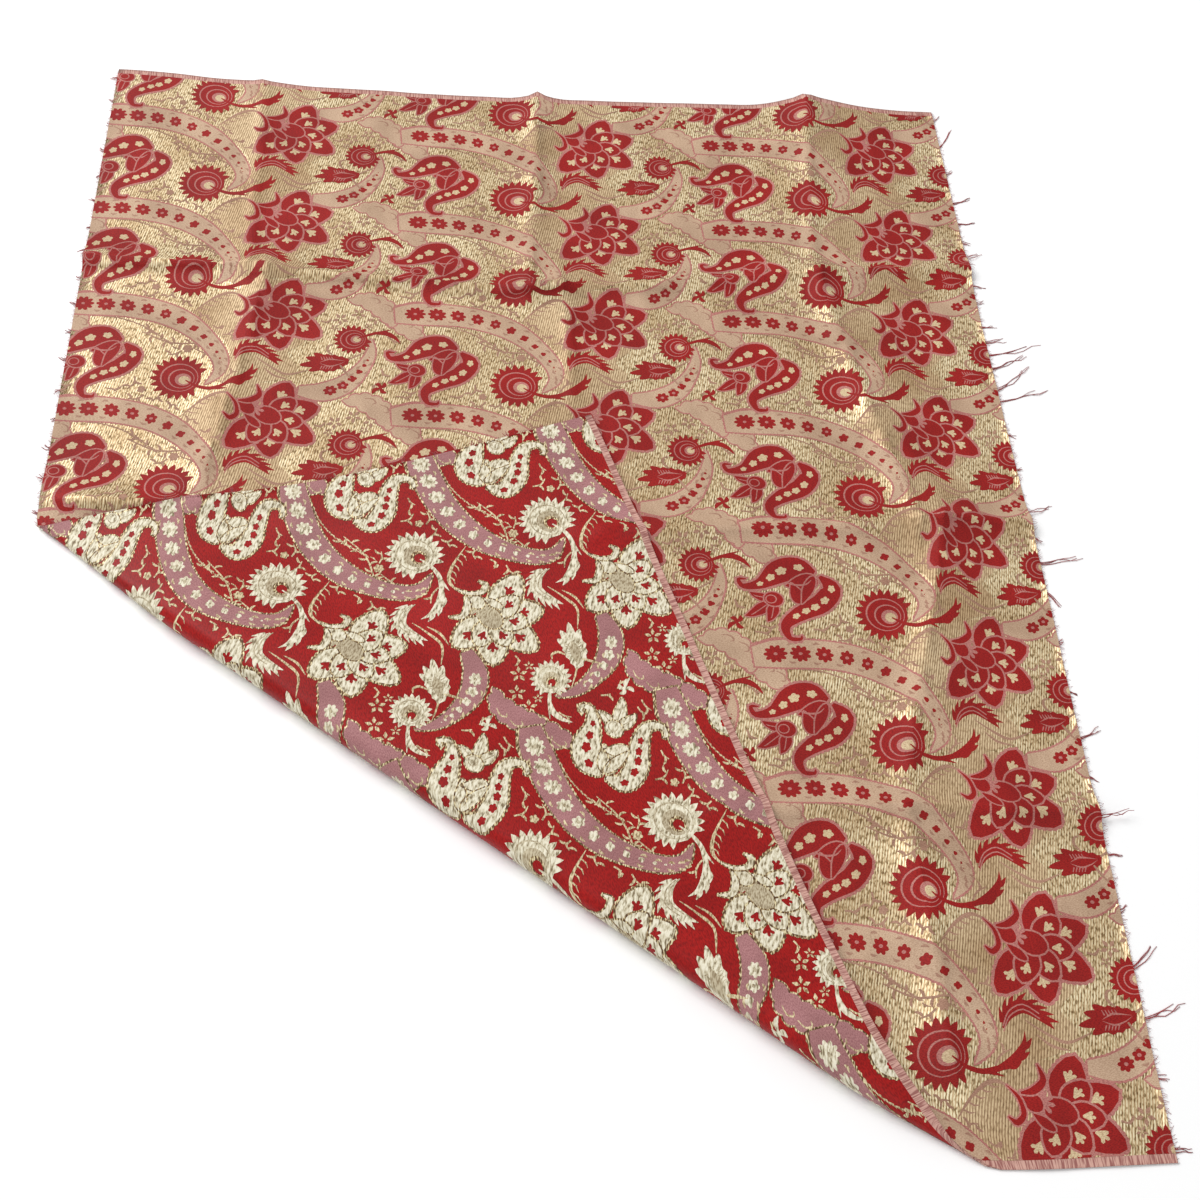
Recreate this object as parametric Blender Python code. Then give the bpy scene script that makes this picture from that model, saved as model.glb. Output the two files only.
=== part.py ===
"""A cut length of figured brocade, laid flat with one corner turned over in a soft fold."""

import math
from collections import namedtuple

import bmesh
import bpy
from mathutils import Matrix, Vector

CM = 0.01

# The cut piece, flat. s runs along the warp from cut edge to cut edge, and w runs along the weft from
# the far selvedge to the near one.
LENGTH = 0.602
WIDTH = 0.756
THICKNESS = 0.0012
FAR_CORNER = Vector((-0.3212, 0.3742))  # where the far end of the left cut edge lies

# The turned corner. Its fold line runs from the left cut edge to the near selvedge, and the cloth
# beyond it goes round a soft roll and lies back over the rest.
FOLD_START = Vector((0.0035, 0.3895))  # (s, w) on the left cut edge
FOLD_END = Vector((0.5025, 0.7555))  # (s, w) on the near selvedge
FOLD_LENGTH = (FOLD_END - FOLD_START).length
ALONG_FOLD = (FOLD_END - FOLD_START).normalized()
BEYOND_FOLD = Vector((-ALONG_FOLD.y, ALONG_FOLD.x))
ROLL_AT_ENDS = 0.0028  # radius
ROLL_AT_MIDDLE = 0.0075
ROLL_BULGE = 0.0070  # how far the middle of the roll stands out past a straight line
ROLL_FILLS_OVER = (0.115, 0.087)  # from each end, the length over which the roll reaches full size
ROLL_RUNS_ON = 0.012  # past the near selvedge
FLAP_TAKE_UP = 0.966  # the turned corner is slightly puckered, so it covers a little less
FLAP_SHIFT = 0.0043  # how far the turned corner slid along the fold
FLAP_SKEW = -0.007  # sideways, for each metre from the fold
FLAP_SLACK = 0.0050  # the sag of its cut edge towards the fold
SLACK_AT = 0.14  # along the fold
SLACK_WIDE = 0.055
SLACK_OVER = 0.20  # from the roll
LAYER_GAP = 0.0034  # from layer to layer where the turned corner has settled
SETTLE_OVER = 0.085  # how far from the roll it has settled

# Storage creases. A "down" crease runs from selvedge to selvedge and an "along" crease from cut edge
# to cut edge. All sizes are in centimetres: where it starts and ends, how far across the cloth it is
# at each end, how high it stands at each end, and how far its two sides spread.
Crease = namedtuple("Crease", "run start end at_start at_end high_start high_end before after")
CREASES = (
    Crease("down", -9.0, 17.6, 10.2, 10.6, 0.25, 0.20, 4.0, 4.0),
    Crease("down", 19.5, 34.0, 11.7, 9.4, 0.45, 0.40, 3.0, 5.0),
    Crease("down", -9.0, 17.8, 30.6, 29.2, 0.65, 0.35, 2.5, 2.5),
    Crease("down", 19.0, 27.0, 31.3, 31.7, 0.35, 0.20, 3.0, 3.0),
    Crease("down", -9.0, 17.0, 50.9, 48.8, 1.75, 0.35, 5.0, 9.0),
    Crease("down", 19.0, 37.0, 49.2, 52.4, 0.55, 0.65, 3.0, 7.0),
    Crease("down", 38.0, 54.0, 53.8, 49.6, 0.65, 0.50, 2.5, 7.0),
    Crease("down", 58.0, 85.0, 49.1, 50.6, 0.60, 0.80, 3.0, 6.0),
    Crease("along", 5.0, 30.0, 17.9, 19.3, 0.25, 0.35, 2.5, 2.5),
    Crease("along", 30.0, 70.0, 19.3, 15.2, 0.35, 0.45, 2.5, 2.5),
    Crease("along", -9.0, 15.0, 37.1, 37.1, 1.10, 0.10, 3.5, 1.4),
    Crease("along", 33.0, 70.0, 38.9, 37.3, 0.35, 0.45, 2.5, 2.5),
    Crease("along", 39.0, 70.0, 56.7, 57.2, 0.35, 0.45, 2.5, 2.5),
)
CREASE_FADE = 3.5
CREASES_END = (-0.035, -0.006)  # creases die out between these distances beyond the fold line

# Where the weave has been pulled off its straight grain, in centimetres: the middle of the pull, how
# far it moves the cloth, and how wide it is.
Pull = namedtuple("Pull", "s w right near wide")
PULLS = (
    Pull(0.0, 0.0, 0.0, -0.9, 8.0),
    Pull(28.5, 8.0, 0.1, 0.55, 13.0),
    Pull(50.0, 42.0, 0.6, -0.15, 8.0),
    Pull(49.0, 74.0, -0.7, 0.2, 9.0),
)
PULLS_END = (-0.030, 0.012)  # pulls die out between these distances beyond the fold line

# The raw cut edges are frayed: warp ends hang loose past the last weft. Columns in centimetres: where
# the tuft leaves the edge, how far it reaches, and how far it leans towards the near selvedge.
Tuft = namedtuple("Tuft", "w reach lean")
RIGHT_TUFTS = (
    Tuft(1.0, 0.9, -0.6),
    Tuft(3.9, 1.4, -2.0),
    Tuft(6.6, 0.7, -0.3),
    Tuft(9.6, 1.7, -0.7),
    Tuft(11.6, 1.9, -0.2),
    Tuft(13.4, 0.8, 0.1),
    Tuft(15.1, 1.5, -0.5),
    Tuft(17.6, 1.2, 0.1),
    Tuft(19.3, 0.8, -0.2),
    Tuft(21.4, 1.2, -0.1),
    Tuft(22.7, 1.7, -0.3),
    Tuft(23.9, 4.6, -0.9),
    Tuft(25.1, 3.6, -1.3),
    Tuft(26.9, 3.3, -2.0),
    Tuft(27.9, 3.9, -1.1),
    Tuft(30.6, 0.7, 0.2),
    Tuft(33.4, 0.6, -0.1),
    Tuft(36.8, 1.9, -0.5),
    Tuft(38.7, 0.8, 0.3),
    Tuft(40.6, 3.2, -0.5),
    Tuft(42.6, 1.0, 1.0),
    Tuft(46.3, 0.6, -0.2),
    Tuft(49.4, 0.7, 0.1),
    Tuft(52.6, 1.6, -0.7),
    Tuft(54.9, 0.7, 0.2),
    Tuft(57.5, 2.3, -0.3),
    Tuft(59.6, 1.0, 0.1),
    Tuft(62.8, 0.6, -0.2),
    Tuft(65.9, 1.9, -1.2),
    Tuft(68.6, 2.9, -0.8),
    Tuft(71.4, 0.7, 0.1),
    Tuft(75.0, 1.5, 0.1),
)
LEFT_FIRST = 0.9  # centimetres, as are the next five
LEFT_TUFT_EVERY = 2.3
LEFT_UNEVEN = 0.45
LEFT_LEAN = -0.25
LEFT_REACH_LEAST = 0.25
LEFT_REACH_MOST = 0.65
EDGE_GAP = 0.0006  # between the last weft and the loose warp
HEADING = 0.0016  # width of the strip that the tufts leave from
TUFT_ROOT = 0.0024
TUFT_TIP = 0.0010
TUFT_STEPS = 3
BEND = 0.4  # 0 for a straight tuft

# Facets
CELL = 0.021
ROLL_STEP = 0.0026
ROLL_LINES = 11
MERGE = 0.0004
EDGE_STEP = 0.012  # along a comb's heading strip


def smooth(low, high, value):
    """0 below low, 1 above high, and an even rise between."""
    t = min(1.0, max(0.0, (value - low) / (high - low)))
    return t * t * (3.0 - 2.0 * t)


def crease_height(s, w):
    """How far the creases lift the cloth at (s, w), in metres."""
    total = 0.0
    for crease in CREASES:
        run, across = (w / CM, s / CM) if crease.run == "down" else (s / CM, w / CM)
        share = min(1.0, max(0.0, (run - crease.start) / (crease.end - crease.start)))
        line = crease.at_start + share * (crease.at_end - crease.at_start)
        high = crease.high_start + share * (crease.high_end - crease.high_start)
        high *= smooth(crease.start - CREASE_FADE, crease.start, run)
        high *= 1.0 - smooth(crease.end, crease.end + CREASE_FADE, run)
        spread = crease.before if across < line else crease.after
        side = max(0.0, 1.0 - abs(across - line) / spread)
        total += high * side * side
    return total * CM


def pulled(s, w, share):
    """(s, w) after the pulls in the weave."""
    right = near = 0.0
    for pull in PULLS:
        apart = math.hypot(s / CM - pull.s, w / CM - pull.w) / pull.wide
        weight = math.exp(-apart * apart)
        right += pull.right * weight
        near += pull.near * weight
    return s + right * CM * share, w + near * CM * share


def across_fold(s, w):
    """(distance along the fold line, distance beyond it) of a point of the flat cloth."""
    offset = Vector((s, w)) - FOLD_START
    return offset.dot(ALONG_FOLD), offset.dot(BEYOND_FOLD)


def from_fold(a, q):
    """The flat point at these distances along and beyond the fold line."""
    return FOLD_START + ALONG_FOLD * a + BEYOND_FOLD * q


def roll_fill(a):
    """How full the roll is, from 0 at the ends of the fold to 1 along its middle."""
    start, end = ROLL_FILLS_OVER
    closing = FOLD_LENGTH + ROLL_RUNS_ON
    return smooth(0.0, start, a) * (1.0 - smooth(closing - end, closing, a))


def laid(s, w):
    """Where the middle of the cloth's thickness at (s, w) lies once the corner is turned over."""
    _, q_flat = across_fold(s, w)
    on_base = 1.0 - smooth(*PULLS_END, q_flat)
    s_now, w_now = pulled(s, w, on_base)
    a, q = across_fold(s_now, w_now)
    full = roll_fill(a)
    radius = ROLL_AT_ENDS + (ROLL_AT_MIDDLE - ROLL_AT_ENDS) * full
    tangent = ROLL_BULGE * full - radius
    turn = (q - tangent) / radius
    if turn <= 0.0:
        flat = Vector((s_now, w_now))
        lift = crease_height(s, w) * (1.0 - smooth(*CREASES_END, q))
    else:
        slid = FLAP_SHIFT + a * (FLAP_TAKE_UP - 1.0) + FLAP_SKEW * q
        a_now = a + slid * smooth(0.0, math.pi, turn)
        if turn < math.pi:
            flat = from_fold(a_now, tangent + radius * math.sin(turn))
            lift = radius * (1.0 - math.cos(turn))
        else:
            back = q - tangent - math.pi * radius
            sag = math.exp(-(((a - SLACK_AT) / SLACK_WIDE) ** 2)) * smooth(0.0, SLACK_OVER, back)
            slack = FLAP_SLACK * sag
            flat = from_fold(a_now, tangent - back * FLAP_TAKE_UP + slack)
            settled = smooth(0.0, SETTLE_OVER, back)
            under = crease_height(flat.x, flat.y)
            lift = 2.0 * radius + (LAYER_GAP + under - 2.0 * radius) * settled
    return Vector((FAR_CORNER.x + flat.x, FAR_CORNER.y - flat.y, THICKNESS / 2 + lift))


def fabric(name, colour, roughness, metallic):
    made = bpy.data.materials.new(name)
    made.use_nodes = True
    shader = made.node_tree.nodes["Principled BSDF"]
    shader.inputs["Base Color"].default_value = (*colour, 1.0)
    shader.inputs["Roughness"].default_value = roughness
    shader.inputs["Metallic"].default_value = metallic
    made.diffuse_color = (*colour, 1.0)
    return made


def finish_sheet(name, mesh, material):
    """Turns a flat bmesh in (s, w) into a laid sheet with thickness."""
    bmesh.ops.triangulate(mesh, faces=mesh.faces)
    for vert in mesh.verts:
        vert.co = laid(vert.co.x, vert.co.y)
    data = bpy.data.meshes.new(name)
    mesh.to_mesh(data)
    mesh.free()
    data.materials.append(material)
    sheet = bpy.data.objects.new(name, data)
    bpy.context.collection.objects.link(sheet)
    solid = sheet.modifiers.new("thickness", "SOLIDIFY")
    solid.thickness = THICKNESS
    solid.offset = 0.0
    solid.use_even_offset = False
    return sheet


def cut_through(mesh, faces, point, normal):
    """Adds a line of edges to these faces, through point and square to normal."""
    edges = {edge for face in faces for edge in face.edges}
    verts = {vert for face in faces for vert in face.verts}
    bmesh.ops.bisect_plane(
        mesh,
        geom=list(verts) + list(edges) + faces,
        dist=MERGE,
        plane_co=(point.x, point.y, 0.0),
        plane_no=(normal.x, normal.y, 0.0),
    )


def build_cloth(material):
    mesh = bmesh.new()
    columns = round(LENGTH / CELL)
    rows = round(WIDTH / CELL)
    middle = Matrix.Translation((LENGTH / 2, WIDTH / 2, 0.0)) @ Matrix.Diagonal((LENGTH, WIDTH, 1.0, 1.0))
    bmesh.ops.create_grid(mesh, x_segments=columns, y_segments=rows, size=0.5, matrix=middle)
    for line in range(ROLL_LINES):
        cut_through(mesh, mesh.faces[:], from_fold(0.0, ROLL_STEP * (line - 0.5)), BEYOND_FOLD)
    for crease in CREASES:
        start = Vector((crease.at_start, crease.start)) * CM
        end = Vector((crease.at_end, crease.end)) * CM
        if crease.run == "along":
            start = start.yx
            end = end.yx
        run = (end - start).normalized()
        reach = (crease.end - crease.start) * CM
        faces = [face for face in mesh.faces if crosses(face, start, run, reach)]
        cut_through(mesh, faces, start, Vector((-run.y, run.x)))
    return finish_sheet("brocade_cloth", mesh, material)


def crosses(face, start, run, reach):
    """Whether a crease comes near this face, short of the fold."""
    centre = face.calc_center_median().xy
    offset = centre - start
    near = abs(offset.cross(run)) < 1.5 * CELL and -CELL < offset.dot(run) < reach + CELL
    return near and across_fold(centre.x, centre.y)[1] < -ROLL_STEP


def build_fray(name, material, edge, outward, tufts):
    """A comb of loose warp ends: a narrow heading strip beside the cut edge, with tapering tufts."""
    mesh = bmesh.new()
    inner = edge + outward * EDGE_GAP
    outer = inner + outward * HEADING
    stops = [EDGE_GAP, WIDTH - EDGE_GAP]
    for tuft in tufts:
        stops += [tuft.w * CM - TUFT_ROOT / 2, tuft.w * CM + TUFT_ROOT / 2]
    extra = [EDGE_STEP * i for i in range(1, int(WIDTH / EDGE_STEP))]
    if outward < 0:
        roll = [FOLD_START.y + ROLL_STEP * i / BEYOND_FOLD.y for i in range(-1, ROLL_LINES)]
        extra = [w for w in extra if w < roll[0] - ROLL_STEP or w > roll[-1] + ROLL_STEP] + roll
    stops += [w for w in extra if clear_of_tufts(w, tufts)]
    stops.sort()
    inside = [mesh.verts.new((inner, w, 0.0)) for w in stops]
    outside = [mesh.verts.new((outer, w, 0.0)) for w in stops]
    root = {round(w, 6): vert for w, vert in zip(stops, outside)}
    for i in range(len(stops) - 1):
        add_face(mesh, outward, inside[i], outside[i], outside[i + 1], inside[i + 1])
    for tuft in tufts:
        before = root[round(tuft.w * CM - TUFT_ROOT / 2, 6)]
        after = root[round(tuft.w * CM + TUFT_ROOT / 2, 6)]
        for i in range(1, TUFT_STEPS + 1):
            share = i / TUFT_STEPS
            half = (TUFT_ROOT + (TUFT_TIP - TUFT_ROOT) * share) / 2
            w = (tuft.w + tuft.lean * share * (1.0 - BEND + BEND * share)) * CM
            s = outer + outward * tuft.reach * CM * share
            next_before = mesh.verts.new((s, w - half, 0.0))
            next_after = mesh.verts.new((s, w + half, 0.0))
            add_face(mesh, outward, before, next_before, next_after, after)
            before = next_before
            after = next_after
    return finish_sheet(name, mesh, material)


def clear_of_tufts(w, tufts):
    return all(abs(w - tuft.w * CM) > TUFT_ROOT for tuft in tufts)


def add_face(mesh, outward, *corners):
    mesh.faces.new(corners if outward > 0 else corners[::-1])


def left_tufts():
    """Short tufts all down the left cut edge, uneven in length and spacing."""
    count = int(WIDTH / CM / LEFT_TUFT_EVERY)
    tufts = []
    for i in range(count):
        uneven = math.sin(i * 2.4) * math.cos(i * 0.7)
        reach = LEFT_REACH_LEAST + (LEFT_REACH_MOST - LEFT_REACH_LEAST) * (0.5 + 0.5 * uneven)
        w = LEFT_FIRST + i * LEFT_TUFT_EVERY + LEFT_UNEVEN * math.sin(i * 1.9)
        tufts.append(Tuft(w, reach, LEFT_LEAN * uneven))
    return tufts


for old in list(bpy.data.objects):
    bpy.data.objects.remove(old, do_unlink=True)

brocade = fabric("brocade_gold_and_red", (0.62, 0.42, 0.24), 0.5, 0.3)
warp = fabric("loose_warp", (0.55, 0.13, 0.12), 0.8, 0.0)

build_cloth(brocade)
build_fray("frayed_warp_right", warp, LENGTH, 1.0, RIGHT_TUFTS)
build_fray("frayed_warp_left", warp, 0.0, -1.0, left_tufts())
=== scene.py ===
"""Looks of the brocade panel: cloth with its woven design on both sides, frayed ends, light, camera."""

import math
from collections import namedtuple

import bpy
import numpy as np
from mathutils import Matrix, Vector
from mathutils.bvhtree import BVHTree
from mathutils.geometry import delaunay_2d_cdt


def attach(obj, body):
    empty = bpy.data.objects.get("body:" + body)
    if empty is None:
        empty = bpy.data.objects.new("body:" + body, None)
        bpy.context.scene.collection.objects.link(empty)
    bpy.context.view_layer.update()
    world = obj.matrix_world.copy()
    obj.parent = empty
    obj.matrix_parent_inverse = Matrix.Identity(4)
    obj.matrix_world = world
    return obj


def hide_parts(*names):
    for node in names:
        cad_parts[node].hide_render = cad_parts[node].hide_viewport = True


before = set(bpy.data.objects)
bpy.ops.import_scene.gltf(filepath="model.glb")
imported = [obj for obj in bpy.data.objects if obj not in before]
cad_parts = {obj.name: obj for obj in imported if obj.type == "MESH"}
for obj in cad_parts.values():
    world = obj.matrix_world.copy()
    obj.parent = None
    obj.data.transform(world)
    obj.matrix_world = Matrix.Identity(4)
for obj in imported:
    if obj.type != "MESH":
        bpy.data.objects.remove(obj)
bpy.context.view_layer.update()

CM = 0.01

# The woven design. Everything here is in centimetres on the flat cloth, x along the warp and y along
# the weft towards the near selvedge, from the middle of a large sunflower. Each shape names its ink,
# and a later shape covers an earlier one. An ink is dyed differently on the two sides of the cloth.
WARP_REPEAT = 21.16
WEFT_REPEAT = 8.52
FIRST_FLOWER = (7.35, 1.95)  # (s, w) of one large sunflower
Shape = namedtuple("Shape", "ink outline")
TINY = 1e-9  # keeps a division by a length of 0 from failing


def spline(rows, steps, closed=False):
    """A smooth curve through the rows, with this many steps from each row to the next."""
    rows = np.array(rows, float)
    count = len(rows)
    t = np.arange(steps)[:, None] / steps
    parts = []
    for i in range(count if closed else count - 1):
        nearby = [i - 1, i, i + 1, i + 2]
        if closed:
            nearby = [k % count for k in nearby]
        else:
            nearby = [min(max(k, 0), count - 1) for k in nearby]
        a, b, c, d = rows[nearby]
        slope = 0.5 * (c - a)
        bend = a - 2.5 * b + 2.0 * c - 0.5 * d
        twist = 1.5 * (b - c) + 0.5 * (d - a)
        parts.append(b + t * (slope + t * (bend + t * twist)))
    if not closed:
        parts.append(rows[-1:])
    return np.concatenate(parts)


def turned(points, degrees):
    a = math.radians(degrees)
    return np.asarray(points) @ np.array([[math.cos(a), math.sin(a)], [-math.sin(a), math.cos(a)]])


def at(points, x, y, degrees=0.0):
    return turned(points, degrees) + (x, y)


def around(count):
    return np.arange(count) * math.tau / count


def oval(wide, high, count=16):
    angle = around(count)
    return np.stack([wide * np.cos(angle), high * np.sin(angle)], axis=1)


def stroke(rows, steps=3):
    """The outline of a brush stroke through rows of (x, y, half width)."""
    line = spline(rows, steps)
    run = np.gradient(line[:, :2], axis=0)
    run /= np.linalg.norm(run, axis=1)[:, None]
    side = np.stack([-run[:, 1], run[:, 0]], axis=1) * line[:, 2:]
    return np.concatenate([line[:, :2] + side, (line[:, :2] - side)[::-1]])


def brushed(ink, rows, steps=3):
    """One brush stroke in one ink."""
    return [Shape(ink, stroke(rows, steps))]


def petal(reach, wide, point=0.0, count=18):
    """A petal that leaves (0, 0) along x, broad and round at its far end, or drawn out to a point."""
    angle = around(count)
    share = 0.5 - 0.5 * np.cos(angle)
    x = reach * (share * (1.0 - point) + point * share**8)
    return np.stack([x, wide * np.sin(angle) * np.sqrt(share)], axis=1)


def blossom(radius, petals, depth=0.3, flat=1.0):
    """A small flower whose petals are waves on a circle."""
    angle = around(petals * 4)
    reach = radius * (1.0 - depth + depth * np.abs(np.cos(angle * petals / 2.0)))
    return np.stack([reach * np.cos(angle), reach * np.sin(angle) * flat], axis=1)


def sprig(size, leaves, fan):
    """Leaflets fan degrees apart on a short stem, as one outline."""
    points = [(-0.9, 0.16)]
    for k in range(leaves):
        turn = fan * ((leaves - 1) / 2.0 - k)
        for offset, reach in ((0.5, 0.45), (0.28, 0.84), (0.0, 1.0), (-0.28, 0.84)):
            a = math.radians(turn + offset * fan)
            points.append((reach * math.cos(a), reach * math.sin(a)))
    points.append((-0.9, -0.16))
    return np.array(points) * size


def evenly(outline, every):
    """The outline with its points at even steps, two of them in each stretch of about this length."""
    length = np.linalg.norm(np.roll(outline, -1, axis=0) - outline, axis=1)
    count = 2 * max(3, round(length.sum() / every))
    start = np.concatenate([[0.0], np.cumsum(length)])
    ring = np.concatenate([outline, outline[:1]])
    stops = np.arange(count) * start[-1] / count
    return np.stack([np.interp(stops, start, ring[:, k]) for k in (0, 1)], axis=1)


def away_from(outline):
    """The direction out of the outline at each of its points."""
    ahead = np.roll(outline, -1, axis=0)
    area = (outline[:, 0] * ahead[:, 1] - ahead[:, 0] * outline[:, 1]).sum()
    run = ahead - np.roll(outline, 1, axis=0)
    run /= np.linalg.norm(run, axis=1)[:, None] + TINY
    return np.stack([run[:, 1], -run[:, 0]], axis=1) * math.copysign(1.0, area)


def grown(outline, by, tooth=0.0, every=0.3):
    """The outline moved outwards, with a saw edge where tooth isn't 0."""
    if tooth:
        outline = evenly(outline, every)
    reach = np.full(len(outline), by)
    reach[::2] += tooth
    return outline + away_from(outline) * reach[:, None]


def edged(ink, outline, by, tooth=0.0):
    """A shape with its outline in another dye behind it."""
    return [Shape("line", grown(outline, by, tooth)), Shape(ink, outline)]


def scalloped(outline, by, every):
    """The outline with round scallops all the way round."""
    fine = evenly(outline, every / 4.0)
    wave = by * np.abs(np.sin(np.arange(len(fine)) * math.pi / 8.0))
    return fine + away_from(fine) * wave[:, None]


def along(rows, share):
    """(x, y, half width, direction in degrees) at this share of a stroke's length."""
    line = spline(rows, 12)
    steps = np.linalg.norm(np.diff(line[:, :2], axis=0), axis=1)
    run = np.concatenate([[0.0], np.cumsum(steps)]) / steps.sum()
    near = 0.02
    x, y, half = (float(np.interp(share, run, line[:, k])) for k in range(3))
    ahead = [float(np.interp(min(1.0, share + near), run, line[:, k])) for k in (0, 1)]
    behind = [float(np.interp(max(0.0, share - near), run, line[:, k])) for k in (0, 1)]
    return x, y, half, math.degrees(math.atan2(ahead[1] - behind[1], ahead[0] - behind[0]))


def sunflower(radius, gap):
    """A disc in a swirl of pointed petals, open over gap degrees on its right."""
    petals = 17
    body = 0.76 * radius
    pointed = ((0.0, body), (0.32, 0.9 * radius), (0.6, radius), (0.82, 0.88 * radius))
    points = []
    for k in range(petals):
        for offset, reach in pointed:
            a = math.radians(gap / 2.0 + (360.0 - gap) * (k + offset) / petals)
            points.append((reach * math.cos(a), reach * math.sin(a)))
    for k in range(3):
        a = math.radians(gap * (k / 2.0 - 0.5))
        points.append((body * math.cos(a), body * math.sin(a)))
    parts = [Shape("figure", np.array(points))]
    widest = 0.65
    discs = (("ring", widest), ("figure", 0.61), ("ring", 0.45), ("shade", 0.41), ("line", 0.28))
    for ink, share in (*discs, ("dot", 0.19)):
        off = 0.42 * (widest - share) * radius
        parts.append(Shape(ink, at(oval(share * radius, 0.95 * share * radius, 22), off, off / 3.0)))
    return parts


def moved(parts, x, y, degrees):
    return [Shape(part.ink, at(part.outline, x, y, degrees)) for part in parts]


def large_sunflower():
    stalk = [(0.1, 0.1, 0.04), (0.8, 0.55, 0.1), (1.7, 0.8, 0.14), (2.6, 0.65, 0.16), (3.0, 0.5, 0.1)]
    leaf = [(2.3, 0.7, 0.05), (3.0, 0.5, 0.22), (3.6, 0.15, 0.28), (4.05, -0.5, 0.14), (4.2, -1.15, 0.01)]
    lobe = [(3.0, 0.55, 0.1), (3.4, 0.52, 0.2), (3.8, 0.36, 0.02)]
    barb = [(1.6, 0.8, 0.05), (2.3, 0.9, 0.09), (2.8, 1.05, 0.01)]
    finger = [(3.3, 0.1, 0.1), (3.85, 0.12, 0.18), (4.3, -0.12, 0.02)]
    tip = [(3.8, -0.3, 0.1), (4.2, -0.42, 0.15), (4.5, -0.8, 0.02)]
    parts = moved(sunflower(1.82, 60.0), -0.3, -0.1, 14.0)
    return parts + [Shape("figure", stroke(rows)) for rows in (stalk, leaf, lobe, barb, finger, tip)]


def small_sunflower():
    stalk = [(10.6, 4.8, 0.04), (11.2, 4.5, 0.09), (11.9, 4.25, 0.11), (12.8, 3.95, 0.01)]
    leaf = [(11.7, 4.35, 0.06), (12.4, 4.3, 0.18), (13.0, 4.65, 0.13), (13.35, 5.15, 0.01)]
    parts = moved(sunflower(1.27, 40.0), 10.3, 4.9, -22.0)
    return parts + [Shape("figure", stroke(rows)) for rows in (stalk, leaf)]


def wing(rows, dots):
    """A curling wing of a palmette, with leafy dots where it's broad."""
    outline = stroke(rows, 4)
    parts = edged("figure", outline, 0.12, 0.07)
    for share in dots:
        x, y, half, turn = along(rows, share)
        shape = blossom(1.0, 5, 0.28) * (0.10 + 0.34 * half, 0.06 + 0.30 * half)
        parts.append(Shape("dot", at(shape, x, y, turn)))
    return parts


def palmette():
    """Two curling wings round a heart of three petals."""
    upper = [(-8.15, -2.6, 0.03), (-8.6, -2.6, 0.11), (-8.35, -2.1, 0.17), (-7.3, -2.3, 0.38)]
    upper += [(-6.2, -3.1, 0.78), (-5.1, -3.4, 0.68), (-4.2, -2.95, 0.2)]
    lower = [(-3.9, -2.75, 0.1), (-3.3, -1.9, 0.54), (-4.0, -0.85, 0.62), (-5.3, -0.15, 0.48)]
    lower += [(-6.15, 0.6, 0.3), (-6.0, 1.45, 0.15), (-5.4, 1.55, 0.11), (-5.3, 1.3, 0.02)]
    parts = wing(upper, (0.36, 0.5, 0.64, 0.83)) + wing(lower, (0.16, 0.3, 0.41, 0.5, 0.6))
    heart = (
        (petal(1.95, 0.72), -5.95, -2.1, -12.0),
        (petal(1.5, 0.5), -5.6, -2.3, 72.0),
        (petal(2.1, 0.4, 0.1), -5.1, -0.85, -66.0),
    )
    for outline, x, y, turn in heart:
        parts += edged("figure", at(outline, x, y, turn), 0.09)
    curl = [(-5.85, -2.3, 0.03), (-5.3, -2.15, 0.06), (-4.75, -2.2, 0.05), (-4.4, -2.5, 0.01)]
    parts += brushed("line", curl)
    return parts


def tulip():
    """Three pointed leaves that leave a round bud."""
    parts = []
    for reach, wide, turn in ((1.45, 0.26, 190.0), (2.1, 0.36, 141.0), (1.6, 0.34, 100.0)):
        leaf = [(0.2, 0.0, 0.1), (0.45 * reach, 0.0, wide), (0.8 * reach, 0.1, 0.6 * wide)]
        leaf.append((reach, 0.25, 0.01))
        vein = [(0.5, 0.0, 0.03), (0.75 * reach, 0.03, 0.03), (0.85 * reach, 0.1, 0.01)]
        parts += moved(edged("figure", stroke(leaf), 0.09), -6.65, -1.2, turn)
        parts += moved(brushed("ring", vein), -6.65, -1.2, turn)
    parts += moved(edged("figure", oval(0.55, 0.47), 0.09), -6.7, -1.2, 20.0)
    for ink, size in (("ring", 0.34), ("figure", 0.27)):
        parts.append(Shape(ink, at(oval(size, 0.9 * size), -6.85, -1.2)))
    return parts


def fleur():
    """Four small leaves from one point."""
    parts = []
    for turn, reach in ((-142.0, 0.45), (-62.0, 0.5), (48.0, 0.55), (138.0, 0.72)):
        rows = [(0.0, 0.0, 0.05), (0.55 * reach, 0.12, 0.14), (reach, 0.0, 0.04)]
        parts += moved(brushed("figure", rows), -8.95, 0.35, turn)
    return parts


def strewn_band(rows, first, last, flowers, largest):
    """A tapering band strewn with flowers that shrink towards its point."""
    parts = edged("band", stroke(rows, 4), 0.09, 0.06)
    for k in range(flowers):
        share = 1.0 - (1.0 - k / (flowers - 1)) ** 1.45
        x, y, half, turn = along(rows, first + (last - first) * share)
        size = largest * (1.0 - share) ** 0.8 + 0.05
        petals = max(3, round(10 * size / 0.72))
        parts.append(Shape("bloom", at(blossom(size, petals, 0.3, 0.86), x, y, turn + 20.0 * k)))
        if size > 0.38:
            parts.append(Shape("fan", at(oval(0.12, 0.10, 8), x, y)))
        if half > 0.45:
            for side in (-1.0, 1.0):
                fleck = [(0.72, side * (half - 0.35), 0.02), (0.9, side * (half - 0.25), 0.08)]
                fleck.append((1.12, side * (half - 0.3), 0.02))
                parts += moved(brushed("fleck", fleck), x, y, turn)
    return parts


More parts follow.
